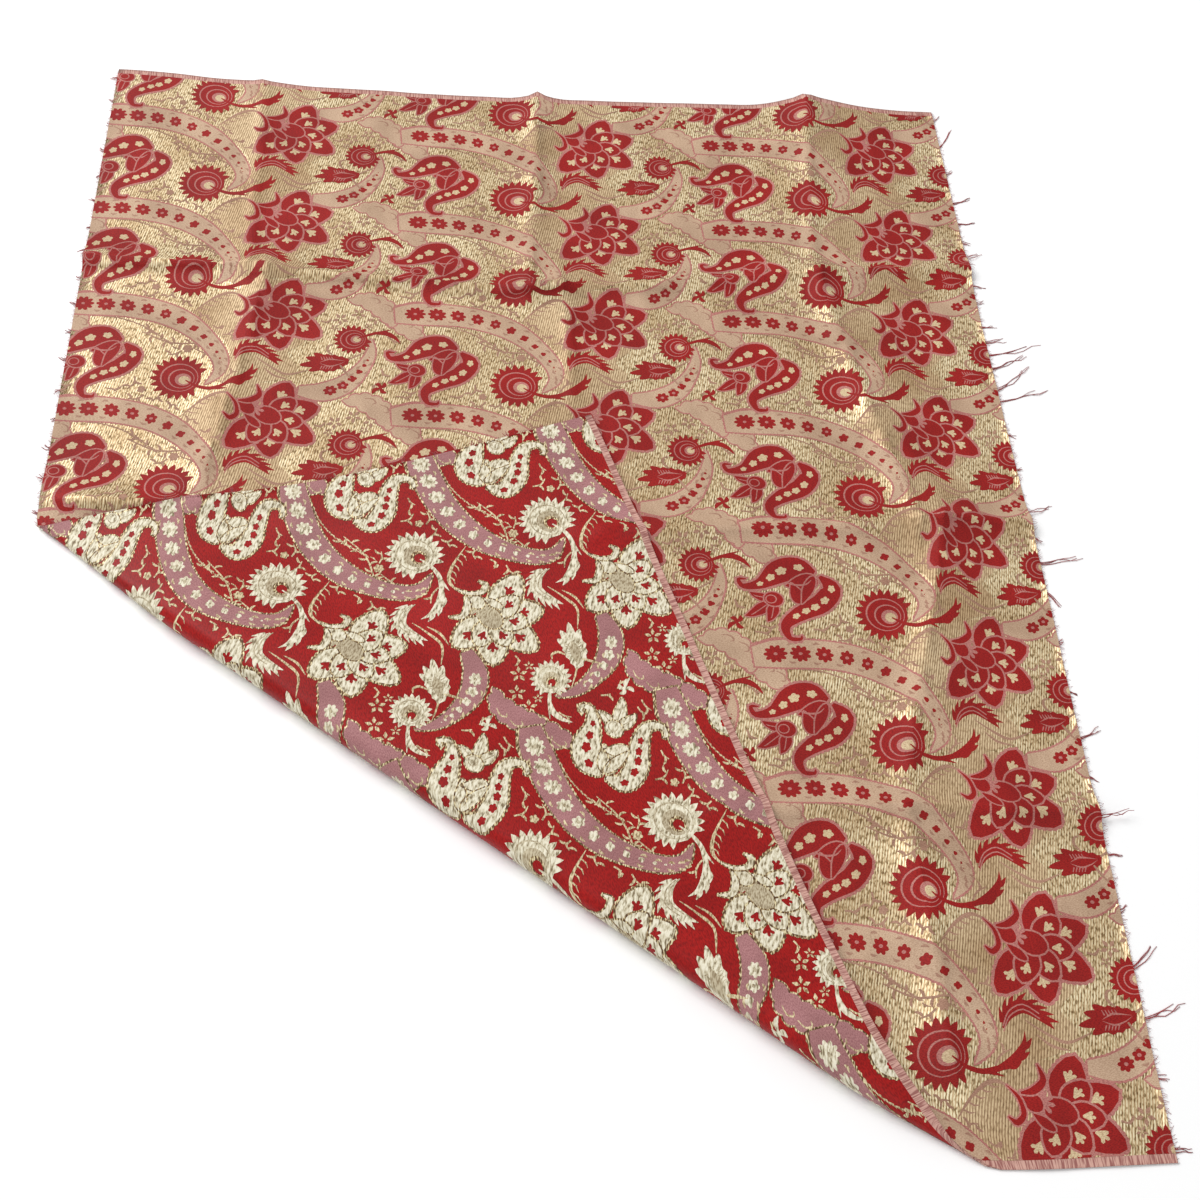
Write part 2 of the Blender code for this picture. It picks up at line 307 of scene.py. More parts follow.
def large_band():
    rows = [(-8.2, 2.6, 0.72), (-6.5, 2.5, 0.92), (-4.0, 2.6, 0.88), (-1.9, 3.1, 0.84), (-0.2, 4.0, 0.76)]
    rows += [(1.2, 5.4, 0.58), (2.1, 6.9, 0.48), (2.15, 8.0, 0.36), (1.35, 8.95, 0.02)]
    ribbon = [(-8.3, 2.0, 0.05), (-7.5, 1.65, 0.1), (-6.8, 1.48, 0.1), (-6.2, 1.5, 0.03)]
    return strewn_band(rows, 0.09, 0.86, 12, 0.66) + brushed("line", ribbon)


def small_band():
    rows = [(7.1, 0.75, 0.35), (8.6, 0.8, 0.68), (10.0, 0.1, 0.66), (11.0, -1.2, 0.44)]
    rows += [(11.5, -2.5, 0.28), (11.5, -3.75, 0.02)]
    return strewn_band(rows, 0.27, 0.78, 7, 0.42)


def plain_lobes():
    """Two plain scalloped lobes between the small band and the next large one."""
    near = [(12.4, 3.1, 0.2), (13.3, 3.4, 0.55), (14.1, 4.0, 0.58), (14.7, 5.1, 0.05)]
    far = [(10.0, 1.55, 0.05), (11.0, 1.45, 0.52), (12.1, 2.05, 0.66), (13.1, 3.3, 0.5)]
    parts = []
    for rows in (near, far):
        outline = scalloped(stroke(rows, 4), 0.16, 0.8)
        parts += [Shape("line", grown(outline, 0.1)), Shape("band", outline)]
        for share in (0.3, 0.55):
            x, y, half, turn = along(rows, share)
            curl = [(0.0, -0.5 * half, 0.02), (0.5, -0.7 * half, 0.05), (0.8, -0.3 * half, 0.05)]
            curl.append((0.6, 0.0, 0.02))
            parts += moved(brushed("fleck", curl), x, y, turn)
    return parts


def peony():
    """A peony seen from its side: two rings of petals round a folded heart, with a horn and a tendril."""
    x, y = 5.35, 2.9
    parts = []
    for k, reach in enumerate((3.0, 3.2, 3.4, 3.1, 3.4)):
        turn = -67.0 + 50.0 * k
        parts += moved(edged("figure", petal(reach, 1.22, 0.27), 0.14, 0.07), x, y, turn)
        parts += moved([Shape("dot", at(sprig(0.39, 3, 62.0), 0.62 * reach, 0.0))], x, y, turn)
    for k in range(4):
        turn = -42.0 + 52.0 * k
        parts += moved(edged("figure", petal(2.15, 0.88, 0.24), 0.12), x, y, turn)
        parts += moved([Shape("dot", at(sprig(0.34, 3, 62.0), 1.35, 0.0))], x, y, turn)
    parts += moved(edged("shade", petal(2.1, 0.8, 0.1), 0.1), 4.2, 2.3, 24.0)
    parts += moved([Shape("fan", sprig(0.66, 5, 40.0))], 4.5, 2.35, 15.0)
    parts += moved(edged("figure", petal(1.35, 0.55, 0.1), 0.1), 3.5, 1.75, 46.0)
    parts += moved(edged("figure", petal(1.3, 0.3, 0.15), 0.09), 3.95, 2.85, 42.0)
    horn = [(3.5, 1.85, 0.05), (4.2, 1.75, 0.19), (4.75, 1.25, 0.16), (4.55, 0.45, 0.01)]
    tendril = [(2.8, 1.45, 0.01), (3.35, 2.05, 0.09), (3.5, 2.85, 0.13), (3.1, 3.25, 0.15)]
    tendril.append((2.7, 2.95, 0.03))
    for rows in (horn, tendril):
        parts += edged("figure", stroke(rows, 4), 0.09)
    return parts


def scroll():
    """The feathery scroll that the peony's tendril springs from."""
    rows = [(3.1, 1.6, 0.04), (2.2, 1.25, 0.11), (1.2, 1.75, 0.09), (0.05, 3.0, 0.02)]
    parts = brushed("vine", rows, 5)
    for k in range(5):
        x, y, _, _ = along(rows, 0.35 + 0.12 * k)
        barb = [(x, y + 0.05, 0.04), (x + 0.3, y + 0.22, 0.045), (x + 0.6, y + 0.2, 0.01)]
        parts += brushed("vine", barb, 2)
    return parts


def comb_leaf():
    """A leaf cut into teeth along its upper side, on an S-shaped stem."""
    spine = [(3.1, 7.2, 0.06), (3.5, 6.45, 0.3), (4.3, 6.1, 0.36), (5.1, 6.6, 0.24), (5.75, 7.3, 0.02)]
    parts = brushed("figure", spine, 4)
    for k in range(8):
        x, y, half, turn = along(spine, 0.14 + 0.105 * k)
        tooth = [(-0.25, -0.1, 0.14), (0.05, -half - 0.08, 0.12), (0.42, -half - 0.32, 0.01)]
        parts += moved(brushed("figure", tooth, 2), x, y, turn)
    for shift in (-0.1, 0.16):
        vein = [(x, y + shift, 0.035) for x, y, _ in spine[:-1]]
        parts += brushed("ring", vein)
    for rows in (
        [(4.3, 6.8, 0.02), (5.2, 7.45, 0.07), (6.3, 8.0, 0.08), (7.6, 7.55, 0.02)],
        [(4.8, 7.55, 0.02), (5.5, 8.15, 0.08), (6.4, 8.4, 0.02)],
    ):
        parts += brushed("vine", rows, 4)
    return parts


def round_leaf():
    """A broad lobed leaf with a hatched almond in its middle, and its tendrils."""
    body = stroke([(7.9, 6.9, 0.3), (8.6, 6.95, 0.66), (9.5, 6.85, 0.5), (10.2, 6.6, 0.02)], 4)
    almond = [(8.3, 6.95, 0.04), (8.9, 6.92, 0.34), (9.5, 6.86, 0.2), (9.9, 6.76, 0.02)]
    parts = [Shape("figure", grown(body, 0.0, 0.1, 0.5))]
    for reach, turn in ((1.5, 150.0), (1.95, 172.0), (1.6, 194.0), (1.3, 216.0)):
        parts += moved([Shape("figure", petal(reach, 0.36, 0.3))], 8.95, 6.9, turn)
    parts += brushed("ring", almond)
    parts.append(Shape("shade", stroke([(x, y, half * 0.7) for x, y, half in almond])))
    for k in range(5):
        x = 8.4 + 0.17 * k
        for side in (-1.0, 1.0):
            tick = [(x + 0.06, 6.95 + 0.25 * side, 0.04), (x - 0.05, 6.95 + 0.52 * side, 0.02)]
            parts += brushed("ring", tick, 1)
    for rows in (
        [(10.1, 6.6, 0.05), (10.6, 6.3, 0.06), (11.1, 5.95, 0.02)],
        [(9.6, 7.1, 0.05), (9.9, 7.6, 0.09), (10.3, 8.2, 0.02)],
        [(9.1, 6.3, 0.04), (8.75, 5.9, 0.08), (8.8, 5.5, 0.07), (9.1, 5.4, 0.03)],
    ):
        parts += brushed("vine", rows)
    return parts


def star_flower(x, y, size):
    """Five pointed leaves round (x, y)."""
    leaf = stroke([(0.12, 0.0, 0.03), (0.3, 0.0, 0.12), (0.52, 0.0, 0.02)], 2) * size
    return [Shape("vine", at(leaf, x, y, 72.0 * k + 20.0)) for k in range(5)]


# Twigs strewn on the ground. Columns: where it starts, its direction in degrees, its length, how far
# it bends and how many leaves it bears.
Twig = namedtuple("Twig", "x y turn length bend leaves")
TWIGS = (
    Twig(0.9, -2.95, 192.0, 3.9, 0.45, 8),
    Twig(-2.0, -3.5, 215.0, 1.0, -0.1, 2),
    Twig(1.7, -2.0, 200.0, 1.4, 0.1, 2),
    Twig(-0.35, -2.3, 155.0, 0.9, 0.1, 2),
    Twig(1.6, -1.6, 60.0, 0.7, -0.1, 0),
    Twig(2.4, 0.5, -40.0, 1.2, 0.15, 1),
    Twig(-3.0, -0.1, 110.0, 1.0, 0.2, 2),
    Twig(-2.3, 1.3, 160.0, 1.0, 0.2, 2),
    Twig(-1.3, 1.2, 130.0, 0.8, 0.1, 2),
    Twig(-4.6, 0.9, 20.0, 0.7, 0.1, 1),
    Twig(-0.7, 2.4, -30.0, 0.6, 0.2, 2),
    Twig(0.4, 3.6, -25.0, 0.8, 0.2, 2),
    Twig(1.4, 4.1, 40.0, 0.5, 0.0, 1),
    Twig(2.1, 4.9, 20.0, 0.9, 0.1, 2),
    Twig(12.1, -0.1, 140.0, 0.6, 0.05, 1),
    Twig(12.2, -1.2, 80.0, 0.6, 0.05, 1),
    Twig(13.2, 1.0, 20.0, 0.9, 0.1, 1),
    Twig(12.5, 4.6, 50.0, 0.8, 0.1, 1),
    Twig(8.2, 3.4, 20.0, 0.5, 0.0, 1),
    Twig(-7.6, 0.6, 30.0, 0.7, 0.1, 1),
)


def twig(row):
    """A bent stem with leaves on both sides of it by turns."""
    stem = [(0.0, 0.0, 0.05), (0.5 * row.length, -row.bend, 0.06), (row.length, 0.0, 0.03)]
    parts = brushed("vine", stem)
    for k in range(row.leaves):
        x, y, _, turn = along(stem, (k + 0.6) / row.leaves)
        side = 1.0 if k % 2 else -1.0
        leaf = [(0.0, 0.0, 0.03), (0.2, 0.05, 0.07), (0.42, -0.04, 0.06), (0.5, -0.12, 0.02)]
        parts += moved(brushed("vine", leaf, 2), x, y, turn + side * (48.0 + 9.0 * k))
    return moved(parts, row.x, row.y, row.turn)


def ground():
    """The twigs, small flowers and stars strewn on the ground, and a row of feathers by the large band."""
    parts = []
    for row in TWIGS:
        parts += twig(row)
    for x, y, size, petals in ((0.0, -2.45, 0.34, 6), (-2.5, 0.9, 0.28, 5), (1.95, 4.3, 0.17, 4)):
        parts.append(Shape("vine", at(blossom(size, petals), x, y)))
    for x, y in ((9.45, 3.2), (10.6, 2.7), (11.7, 3.05)):
        parts += star_flower(x, y, 1.0)
    for x, y in ((9.1, 3.95), (11.3, 3.75)):
        parts += star_flower(x, y, 0.6)
    feather = stroke([(0.0, 0.0, 0.03), (0.22, 0.07, 0.045), (0.46, 0.03, 0.01)], 2)
    for k in range(15):
        parts.append(Shape("vine", at(feather, -5.6 + 0.33 * k, 3.5 + 0.012 * k * k, 2.0 * k)))
    return parts


def ribbed_ground():
    """The ground between the large band and the peony, which the reverse shows as plain ribs."""
    left = [(1.7, 0.1), (3.0, 0.75), (2.3, 1.3), (1.1, 1.9), (0.1, 3.0), (1.2, 4.2), (2.3, 5.5)]
    left += [(2.75, 6.9), (2.5, 8.0), (2.0, 8.5)]
    right = [(4.0, 8.9), (6.3, 8.3), (6.9, 7.3), (6.2, 6.3), (7.4, 5.0), (7.6, 2.6), (6.8, 0.6)]
    right += [(5.2, 0.3), (3.4, 0.3)]
    return [Shape("ribbed", spline(left + right, 3, closed=True))]


def thinned(outline, slack=0.016):
    """The outline without the points that lie within slack of the line between their neighbours.

    Each pass leaves every second point alone, so that no two neighbours go at once."""
    for turn in (0, 1):
        before, after = np.roll(outline, 1, axis=0), np.roll(outline, -1, axis=0)
        chord = after - before
        gap = outline - before
        off = np.abs(chord[:, 0] * gap[:, 1] - chord[:, 1] * gap[:, 0])
        spare = off < slack * (np.linalg.norm(chord, axis=1) + TINY)
        spare[turn::2] = False
        spare[[0, -1]] = False
        if len(outline) > 7:
            outline = outline[~spare]
    return outline


def repeat():
    """One repeat of the design, with what it has on top last."""
    parts = ribbed_ground() + ground() + scroll() + plain_lobes() + large_band() + small_band()
    parts += comb_leaf() + round_leaf() + peony() + palmette() + tulip() + fleur()
    parts += large_sunflower() + small_sunflower()
    return [Shape(part.ink, thinned(part.outline)) for part in parts]


# The cloth as it lies. These sizes are the frame's own, in metres: s runs along the warp from cut edge
# to cut edge, and w along the weft from the far selvedge to the near one.
LENGTH = 0.602
WIDTH = 0.756
MIDDLE_HEIGHT = 0.0006  # of the cloth's thickness, where it lies flat
FAR_CORNER = np.array([-0.3212, 0.3742])  # where the far end of the left cut edge lies
FOLD_START = np.array([0.0035, 0.3895])  # (s, w) on the left cut edge
FOLD_END = np.array([0.5025, 0.7555])  # (s, w) on the near selvedge
FOLD_LENGTH = np.linalg.norm(FOLD_END - FOLD_START)
ALONG_FOLD = (FOLD_END - FOLD_START) / FOLD_LENGTH
BEYOND_FOLD = np.array([-ALONG_FOLD[1], ALONG_FOLD[0]])
ROLL_AT_ENDS = 0.0028  # radius
ROLL_AT_MIDDLE = 0.0075
ROLL_BULGE = 0.0070  # how far the middle of the roll stands out past a straight line
ROLL_FILLS_OVER = (0.115, 0.087)  # from each end, the length over which the roll reaches full size
ROLL_RUNS_ON = 0.012  # past the near selvedge
FLAP_TAKE_UP = 0.966  # the turned corner is slightly puckered, so it covers a little less
FLAP_SHIFT = 0.0043  # how far the turned corner slid along the fold
FLAP_SKEW = -0.007  # sideways, for each metre from the fold
FLAP_SLACK = 0.0050  # the sag of its cut edge towards the fold
SLACK_AT = 0.14  # along the fold
SLACK_WIDE = 0.055
SLACK_OVER = 0.20  # from the roll
LAYER_GAP = 0.0034  # from layer to layer where the turned corner has settled
SETTLE_OVER = 0.085  # how far from the roll it has settled

# Storage creases, in centimetres. A "down" crease runs from selvedge to selvedge and an "along" crease
# from cut edge to cut edge. Columns: where it starts and ends, how far across the cloth it is at each
# end, how high it stands at each end, and how far its two sides spread. They are the frame's, but for
# the first along crease, which is sharper and starts further left.
Crease = namedtuple("Crease", "run start end at_start at_end high_start high_end before after")
CREASES = (
    Crease("down", -9.0, 17.6, 10.2, 10.6, 0.25, 0.20, 4.0, 4.0),
    Crease("down", 19.5, 34.0, 11.7, 9.4, 0.45, 0.40, 3.0, 5.0),
    Crease("down", -9.0, 17.8, 30.6, 29.2, 0.65, 0.35, 2.5, 2.5),
    Crease("down", 19.0, 27.0, 31.3, 31.7, 0.35, 0.20, 3.0, 3.0),
    Crease("down", -9.0, 17.0, 50.9, 48.8, 1.75, 0.35, 5.0, 9.0),
    Crease("down", 19.0, 37.0, 49.2, 52.4, 0.55, 0.65, 3.0, 7.0),
    Crease("down", 38.0, 54.0, 53.8, 49.6, 0.65, 0.50, 2.5, 7.0),
    Crease("down", 58.0, 85.0, 49.1, 50.6, 0.60, 0.80, 3.0, 6.0),
    Crease("along", -4.0, 30.0, 17.6, 19.3, 0.50, 0.40, 2.5, 1.0),
    Crease("along", 30.0, 70.0, 19.3, 15.2, 0.35, 0.45, 2.5, 2.5),
    Crease("along", -9.0, 15.0, 37.1, 37.1, 1.10, 0.10, 3.5, 1.4),
    Crease("along", 33.0, 70.0, 38.9, 37.3, 0.35, 0.45, 2.5, 2.5),
    Crease("along", 39.0, 70.0, 56.7, 57.2, 0.35, 0.45, 2.5, 2.5),
)
CREASE_FADE = 3.5
CREASES_END = (-0.035, -0.006)  # creases die out between these distances beyond the fold line
PRESSED_WIDE = 0.6  # the sharp line along a crease, in centimetres
PRESSED_HIGH = 0.17

# Where the weave has been pulled off its straight grain, in centimetres: the middle of the pull, how
# far it moves the cloth, and how wide it is.
Pull = namedtuple("Pull", "s w right near wide")
PULLS = (
    Pull(0.0, 0.0, 0.0, -0.9, 8.0),
    Pull(28.5, 8.0, 0.1, 0.55, 13.0),
    Pull(50.0, 42.0, 0.6, -0.15, 8.0),
    Pull(49.0, 74.0, -0.7, 0.2, 9.0),
)
PULLS_END = (-0.030, 0.012)  # pulls die out between these distances beyond the fold line

# The rest of the cloth, in metres
HALF_THICKNESS = 0.00035
SELVEDGE = 0.0045
INLAY = 0.00012  # how far the figures stand above the ground they are woven on
CRUMPLE = 0.00022  # height of the fine crumpling all over
SIDES = {"reverse": 1.0, "face": -1.0}  # which way each side looks from the cloth's middle

# Its facets
CELL = 0.0064
ROLL_ZONE = (-0.009, 0.034)  # beyond the fold line, the strip with finer facets
ROLL_CELL = 0.0015  # across the roll
ROLL_STEP = 0.0042  # along it
CREASE_STEP = 0.005
EDGE_MARGIN = 0.0004  # lines of facets stop this far from the cloth's edges
MERGE = 1e-6


def smooth(low, high, value):
    """0 below low, 1 above high, and an even rise between."""
    t = np.clip((value - low) / (high - low), 0.0, 1.0)
    return t * t * (3.0 - 2.0 * t)


def crease_at(crease, run):
    """The share of the crease's length at run centimetres down it, and how far across the cloth it is."""
    share = np.clip((run - crease.start) / (crease.end - crease.start), 0.0, 1.0)
    return share, crease.at_start + share * (crease.at_end - crease.at_start)


def crease_height(s, w):
    """How far the creases lift the cloth at (s, w), with the sharp line that each one was pressed to."""
    total = np.zeros_like(s)
    for crease in CREASES:
        run, across = (w / CM, s / CM) if crease.run == "down" else (s / CM, w / CM)
        share, line = crease_at(crease, run)
        high = crease.high_start + share * (crease.high_end - crease.high_start)
        high = high * smooth(crease.start - CREASE_FADE, crease.start, run)
        high = high * (1.0 - smooth(crease.end, crease.end + CREASE_FADE, run))
        spread = np.where(across < line, crease.before, crease.after)
        side = np.maximum(0.0, 1.0 - np.abs(across - line) / spread)
        pressed = np.maximum(0.0, 1.0 - np.abs(across - line) / PRESSED_WIDE)
        total += high * side * side + PRESSED_HIGH * pressed * np.minimum(1.0, 3.0 * high)
    return total * CM


def crumpled(s, w):
    """The fine crumpling of cloth that has been folded away for years."""
    waves = np.sin(61.0 * s + 23.0 * w) * np.sin(17.0 * s - 71.0 * w + 1.3)
    waves += 0.6 * np.sin(131.0 * s - 47.0 * w + 2.0) * np.sin(39.0 * s + 119.0 * w)
    return CRUMPLE * (1.0 + waves)


def pulled(s, w, share):
    """Where the pulls bring (s, w), with this share of their strength."""
    right = np.zeros_like(s)
    near = np.zeros_like(s)
    for pull in PULLS:
        weight = np.exp(-((s / CM - pull.s) ** 2 + (w / CM - pull.w) ** 2) / pull.wide**2)
        right += pull.right * weight
        near += pull.near * weight
    return s + right * CM * share, w + near * CM * share


def across_fold(s, w):
    """How far (s, w) is along the fold line and how far beyond it."""
    from_start = np.stack([s, w], axis=-1) - FOLD_START
    return from_start @ ALONG_FOLD, from_start @ BEYOND_FOLD


def from_fold(a, q):
    """The (s, w) that is a along the fold line and q beyond it."""
    flat = FOLD_START + a[..., None] * ALONG_FOLD + q[..., None] * BEYOND_FOLD
    return flat[..., 0], flat[..., 1]


def roll_at(a):
    """The radius of the roll at a along the fold line, and how far beyond the line the cloth leaves flat."""
    start, end = ROLL_FILLS_OVER
    closing = FOLD_LENGTH + ROLL_RUNS_ON
    full = smooth(0.0, start, a) * (1.0 - smooth(closing - end, closing, a))
    radius = ROLL_AT_ENDS + (ROLL_AT_MIDDLE - ROLL_AT_ENDS) * full
    return radius, ROLL_BULGE * full - radius


def laid(s, w):
    """Where the middle of the cloth's thickness at (s, w) lies once the corner is turned over."""
    _, q_flat = across_fold(s, w)
    s_now, w_now = pulled(s, w, 1.0 - smooth(*PULLS_END, q_flat))
    a, q = across_fold(s_now, w_now)
    radius, tangent = roll_at(a)
    turn = (q - tangent) / radius
    on_roll = np.clip(turn, 0.0, math.pi)
    slid = FLAP_SHIFT + a * (FLAP_TAKE_UP - 1.0) + FLAP_SKEW * q
    a_now = a + slid * smooth(0.0, math.pi, turn)
    back = np.maximum(0.0, q - tangent - math.pi * radius)
    sag = np.exp(-(((a - SLACK_AT) / SLACK_WIDE) ** 2)) * smooth(0.0, SLACK_OVER, back)
    q_now = tangent + radius * np.sin(on_roll) - back * FLAP_TAKE_UP + FLAP_SLACK * sag
    turned_s, turned_w = from_fold(a_now, q_now)
    flat_s = np.where(turn > 0.0, turned_s, s_now)
    flat_w = np.where(turn > 0.0, turned_w, w_now)
    settled = smooth(0.0, SETTLE_OVER, back)
    base = crease_height(s, w) * (1.0 - smooth(*CREASES_END, q)) + crumpled(s, w) * (turn <= 0.0)
    over = radius * (1.0 - np.cos(on_roll))
    under = crease_height(flat_s, flat_w) + crumpled(s, w)
    over = over + (LAYER_GAP + under - 2.0 * radius) * settled
    lift = np.where(turn > 0.0, over, base)
    return np.stack([FAR_CORNER[0] + flat_s, FAR_CORNER[1] - flat_w, MIDDLE_HEIGHT + lift], axis=-1)


def outward(s, w):
    """The direction in which the reverse side looks at (s, w)."""
    step = 0.0004
    along_s = laid(s + step, w) - laid(s - step, w)
    along_w = laid(s, w + step) - laid(s, w - step)
    across = np.cross(along_w, along_s)
    return across / np.linalg.norm(across, axis=-1)[..., None]


def triangulated(points, edges, lines):
    """Delaunay triangles through the points and the lines, which keep the edges and the lines.

    A line is its points and whether its end meets its start."""
    parts = [points]
    edges = list(edges)
    first = len(points)
    for line, closed in lines:
        parts.append(line)
        edges += [(first + i, first + i + 1) for i in range(len(line) - 1)]
        if closed:
            edges.append((first + len(line) - 1, first))
        first += len(line)
    made = delaunay_2d_cdt([Vector(point) for point in np.concatenate(parts)], edges, (), 0, MERGE, False)
    return np.array([vert[:] for vert in made[0]]), np.array(made[2])


def ends_of(faces):
    return np.concatenate([faces[:, [0, 1]], faces[:, [1, 2]], faces[:, [2, 0]]])


def crease_line(crease):
    """Points down a crease, flat on the cloth, in metres."""
    count = max(2, round((crease.end - crease.start) / (CREASE_STEP / CM)))
    run = np.linspace(max(0.0, crease.start), crease.end, count)
    _, line = crease_at(crease, run)
    across = (line, run) if crease.run == "down" else (run, line)
    return np.stack(across, axis=1) * CM


def on_cloth(points, margin=1e-5):
    s, w = points[:, 0], points[:, 1]
    return (s > margin) & (s < LENGTH - margin) & (w > margin) & (w < WIDTH - margin)


def flat_facets():
    """The cloth's own facets while it lies flat: even cells, with fine rows along the roll."""
    columns = np.linspace(0.0, LENGTH, round(LENGTH / CELL) + 1)
    inner = np.linspace(SELVEDGE, WIDTH - SELVEDGE, round((WIDTH - 2.0 * SELVEDGE) / CELL) + 1)
    rows = np.concatenate([[0.0, SELVEDGE / 2.0], inner, [WIDTH - SELVEDGE / 2.0, WIDTH]])
    s, w = (grid.ravel() for grid in np.meshgrid(columns, rows))
    _, q = across_fold(s, w)
    edge = (s == 0.0) | (s == LENGTH) | (w == 0.0) | (w == WIDTH)
    seam = (w == rows[2]) | (w == rows[-3])
    keep = edge | seam | (q < ROLL_ZONE[0]) | (q > ROLL_ZONE[1])
    lines = [(np.array([(0.0, 0.0), (LENGTH, 0.0), (LENGTH, WIDTH), (0.0, WIDTH)]), True)]
    for w_seam in (SELVEDGE, WIDTH - SELVEDGE):
        lines.append((np.array([(0.0, w_seam), (LENGTH, w_seam)]), False))
    past_ends = 0.02
    steps = np.arange(-past_ends, FOLD_LENGTH + past_ends, ROLL_STEP)
    for q in np.arange(*ROLL_ZONE, ROLL_CELL):
        row = np.stack(from_fold(steps, np.full(len(steps), q)), axis=1)
        lines.append((row[on_cloth(row, EDGE_MARGIN)], False))
    for crease in CREASES:
        line = crease_line(crease)
        line = line[on_cloth(line, EDGE_MARGIN)]
        line = line[across_fold(line[:, 0], line[:, 1])[1] < ROLL_ZONE[0] - 0.001]
        if len(line) > 1:
            lines.append((line, False))
    return triangulated(np.stack([s, w], axis=1)[keep], [], lines)


def mesh_piece(name, verts, faces, flat, materials, normals=None, material_index=None):
    """A shaded piece whose UV map holds each vertex's flat place on the cloth, in metres."""
    data = bpy.data.meshes.new(name)
    data.vertices.add(len(verts))
    data.vertices.foreach_set("co", np.asarray(verts, np.float32).ravel())
    faces = np.asarray(faces, np.int32)
    data.loops.add(faces.size)
    data.loops.foreach_set("vertex_index", faces.ravel())
    data.polygons.add(len(faces))
    data.polygons.foreach_set("loop_start", np.arange(0, faces.size, faces.shape[1], dtype=np.int32))
    for material in materials:
        data.materials.append(material)
    if material_index is not None:
        data.polygons.foreach_set("material_index", np.asarray(material_index, np.int32))
    uv = data.uv_layers.new(name="flat")
    uv.data.foreach_set("uv", np.asarray(flat, np.float32)[faces.ravel()].ravel())
    data.update(calc_edges=True)
    data.shade_smooth()
    if normals is not None:
        data.normals_split_custom_set_from_vertices(normals)
    made = bpy.data.objects.new(name, data)
    bpy.context.collection.objects.link(made)
    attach(made, "root")
    return made


def build_cloth(places, faces, materials):
    """A thin closed sheet: the reverse, the face and the edge between them."""
    s, w = places[:, 0], places[:, 1]
    middle = laid(s, w)
    out = outward(s, w)
    verts = np.concatenate([middle + out * HALF_THICKNESS, middle - out * HALF_THICKNESS])
    ends = {(a, b) for a, b in ends_of(faces).tolist()}
    rim = np.array(sorted((a, b) for a, b in ends if (b, a) not in ends))
    count = len(places)
    walls = [np.stack([rim[:, 0], rim[:, 0] + count, rim[:, 1] + count], axis=1)]
    walls.append(np.stack([rim[:, 0], rim[:, 1] + count, rim[:, 1]], axis=1))
    every = np.concatenate([faces[:, ::-1], faces + count, *walls])
    centre_w = w[faces].mean(axis=1)
    edge = (centre_w < SELVEDGE) | (centre_w > WIDTH - SELVEDGE)
    index = np.concatenate([np.where(edge, 2, 0), np.where(edge, 2, 1), np.full(2 * len(rim), 2)])
    flat = np.concatenate([places, places])
    return mesh_piece("cloth", verts, every, flat, materials, material_index=index)


def shapes_at(points, shapes):
    """The number of the topmost shape at each flat point in centimetres, or -1 on the ground."""
    start = np.array([-WARP_REPEAT / 2.0, -WEFT_REPEAT / 2.0])
    cell = start + np.mod(points - FIRST_FLOWER - start, (WARP_REPEAT, WEFT_REPEAT))
    order = np.argsort(cell[:, 0])
    x, y = cell[order].T
    top = np.full(len(points), -1)
    for number, shape in enumerate(shapes):
        for right, up in shifts(range(-2, 3), range(-2, 3)):
            left, bottom = shape.outline.min(axis=0) + (right, up)
            far_right, far_up = shape.outline.max(axis=0) + (right, up)
            first, last = np.searchsorted(x, (left, far_right))
            column = y[first:last]
            near = first + np.flatnonzero((column > bottom) & (column < far_up))
            inside = wound_round(x[near] - right, y[near] - up, shape.outline)
            top[order[near[inside]]] = number
    return top


def shifts(columns, rows):
    """How far each of these repeats of the design lies from the first one, in centimetres."""
    return [(across * WARP_REPEAT, down * WEFT_REPEAT) for across in columns for down in rows]


def wound_round(x, y, outline):
    """Whether the outline winds round each point."""
    turns = np.zeros(len(x), int)
    ahead = np.roll(outline, -1, axis=0)
    for (ax, ay), (bx, by) in zip(outline.tolist(), ahead.tolist()):
        if ay == by:
            continue
        left = (bx - ax) * (y - ay) - (x - ax) * (by - ay)
        if by > ay:
            turns += (y >= ay) & (y < by) & (left > 0.0)
        else:
            turns -= (y >= by) & (y < ay) & (left < 0.0)
    return turns != 0


def woven_design(places, faces, shapes):
    """The design's triangles over the whole cloth: their corners, and the shape that each one shows."""
    edges = np.unique(np.sort(ends_of(faces), axis=1), axis=0).tolist()
    columns = range(-2, int(LENGTH / CM / WARP_REPEAT) + 2)
    rows = range(-2, int(WIDTH / CM / WEFT_REPEAT) + 2)
    lines = []
    for shape in shapes:
        for shift in shifts(columns, rows):
            outline = (shape.outline + FIRST_FLOWER + shift) * CM
            if (outline.max(axis=0) >= 0.0).all() and (outline.min(axis=0) <= (LENGTH, WIDTH)).all():
                lines.append((outline, True))
    corners, pieces = triangulated(places, edges, lines)
    centre = corners[pieces].mean(axis=1)
    woven = on_cloth(centre) & (centre[:, 1] > SELVEDGE) & (centre[:, 1] < WIDTH - SELVEDGE)
    return corners, pieces[woven], shapes_at(centre[woven] / CM, shapes)


# What each side's weave does with the inks of the design: one piece of the model for each row, with
# the inks that it gathers. Ground shows where a side has no row for an ink.
Inlay = namedtuple("Inlay", "name side inks material")


